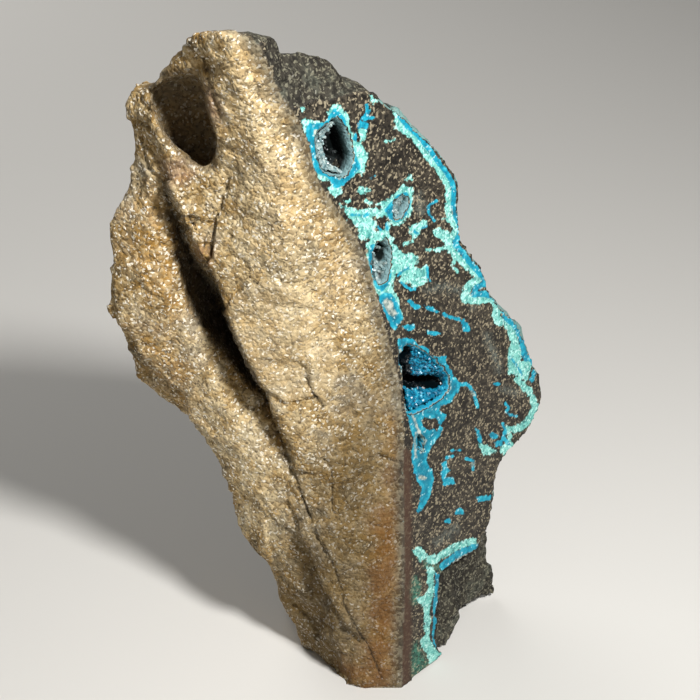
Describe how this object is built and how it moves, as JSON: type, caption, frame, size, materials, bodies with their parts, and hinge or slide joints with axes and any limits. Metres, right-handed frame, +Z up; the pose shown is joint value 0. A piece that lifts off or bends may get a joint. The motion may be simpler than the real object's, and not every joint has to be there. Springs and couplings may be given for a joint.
{
  "type": "raw chrysocolla specimen",
  "caption": "Upright rough stone on a sawn foot: tan country rock with a polished slab of dark matrix, veined in turquoise chrysocolla and pitted with crystal-lined hollows.",
  "frame": {"origin": "on the foot plane, under the middle of the bounding box", "axes": "+Z up out of the sawn foot, +Y away from the viewer, +X to the right, towards the polished side"},
  "size_m": [0.0724, 0.0448, 0.1143],
  "materials": {
    "rock": "rough granular tan rock, with one sawn and polished face of dark brown matrix veined in turquoise and teal",
    "quartz_druse": "sparkling grey-white quartz points",
    "blue_druse": "sparkling blue chrysocolla-stained quartz points"
  },
  "bodies": {
    "root": {"rock": "rock", "druse_upper": "quartz_druse", "druse_small": "quartz_druse", "druse_long": "quartz_druse", "druse_blue": "blue_druse"}
  },
  "joints": []
}
